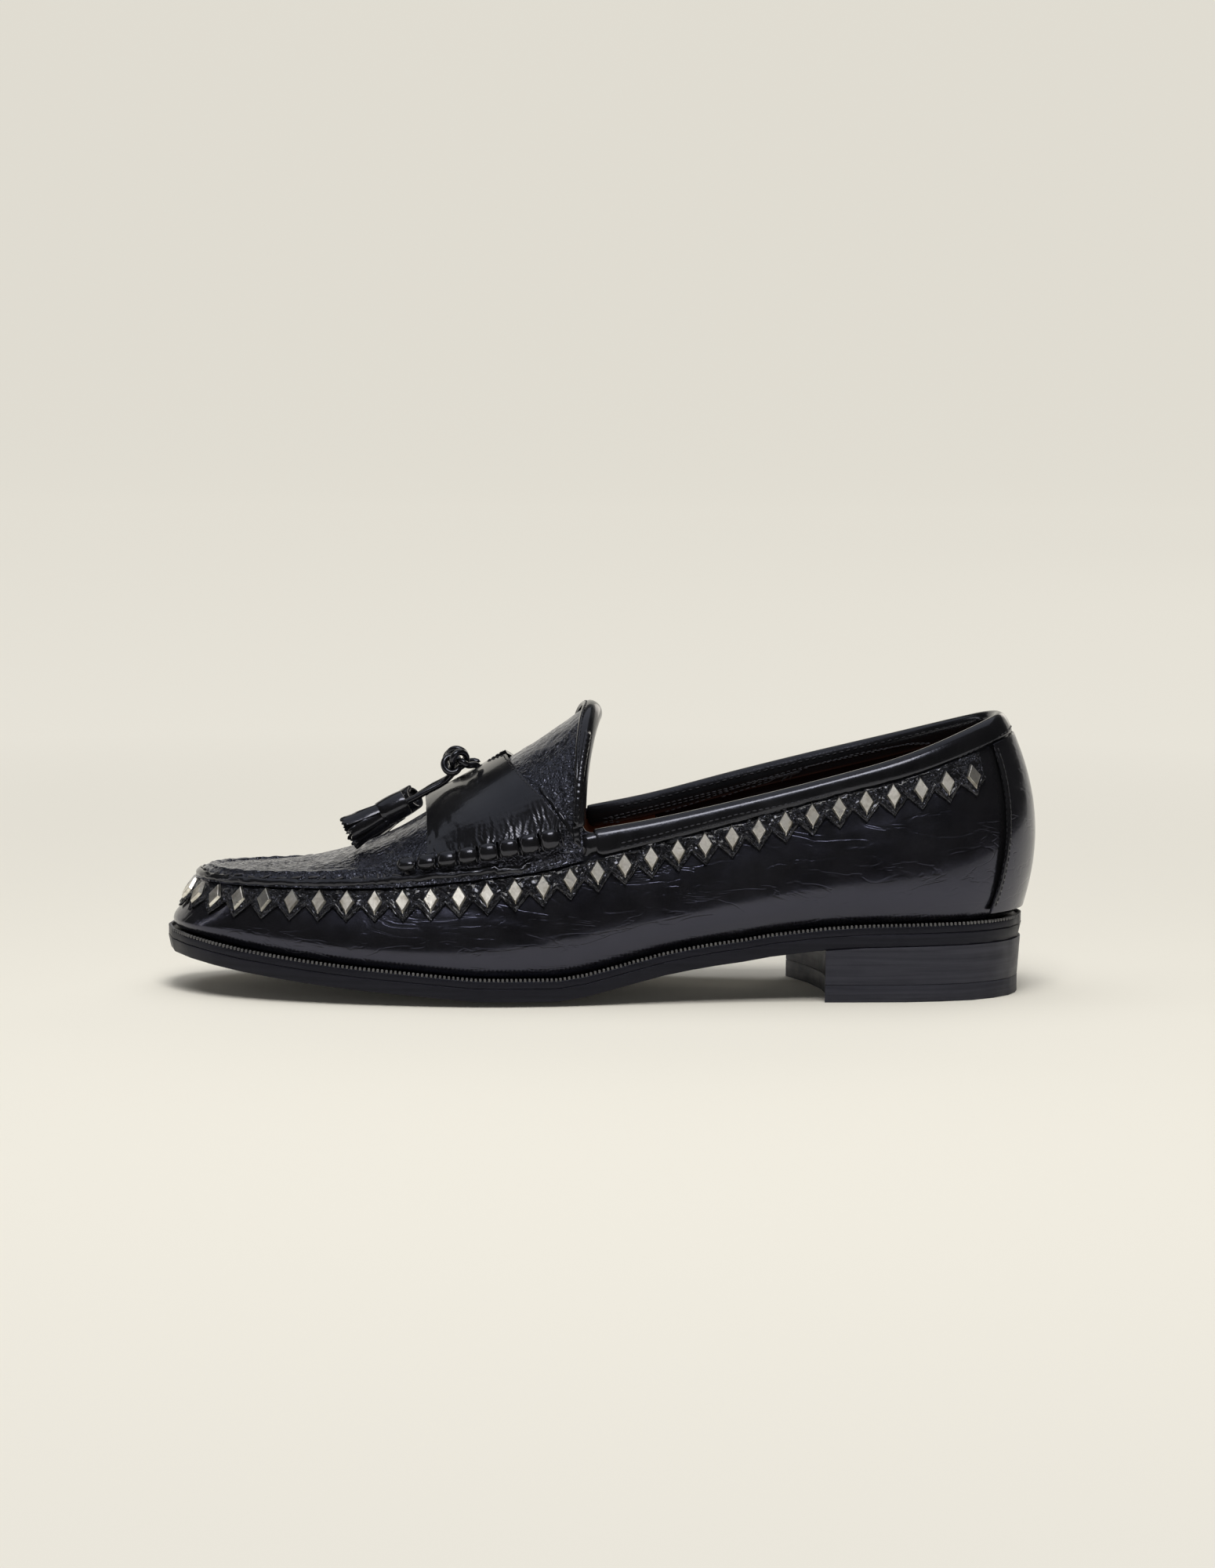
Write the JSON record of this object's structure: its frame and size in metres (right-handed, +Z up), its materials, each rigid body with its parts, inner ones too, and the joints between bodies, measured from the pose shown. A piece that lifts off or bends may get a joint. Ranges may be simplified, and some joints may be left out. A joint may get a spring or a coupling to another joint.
{
  "type": "tassel loafer",
  "caption": "Left tassel loafer in black leather: hollow upper with a moccasin front, saddle strap, two tassels and a studded zigzag band, on a leather sole with a stacked heel.",
  "frame": {"origin": "on the floor, under the middle of the shoe's box", "axes": "+Z up, +X from toe to heel, -Y the outer side of the foot"},
  "size_m": [0.2661, 0.0901, 0.0897],
  "materials": {
    "upper_leather": "polished",
    "sole_leather": "satin",
    "heel_rubber": "matte",
    "lining_leather": "satin",
    "stud_metal": "worn"
  },
  "bodies": {
    "root": {"outsole": "sole_leather", "welt": "sole_leather", "heel_stack": "sole_leather", "heel_lift": "heel_rubber", "insole": "lining_leather", "upper": "upper_leather", "apron": "upper_leather", "saddle": "upper_leather", "bead_roll_lateral": "upper_leather", "bead_roll_medial": "upper_leather", "collar_binding": "upper_leather", "tongue_binding": "upper_leather", "heel_counter": "upper_leather", "stud_band": "stud_metal", "tassel_cord_lateral": "upper_leather", "tassel_cap_lateral": "upper_leather", "tassel_fringe_lateral": "upper_leather", "tassel_cord_medial": "upper_leather", "tassel_cap_medial": "upper_leather", "tassel_fringe_medial": "upper_leather"}
  },
  "joints": []
}
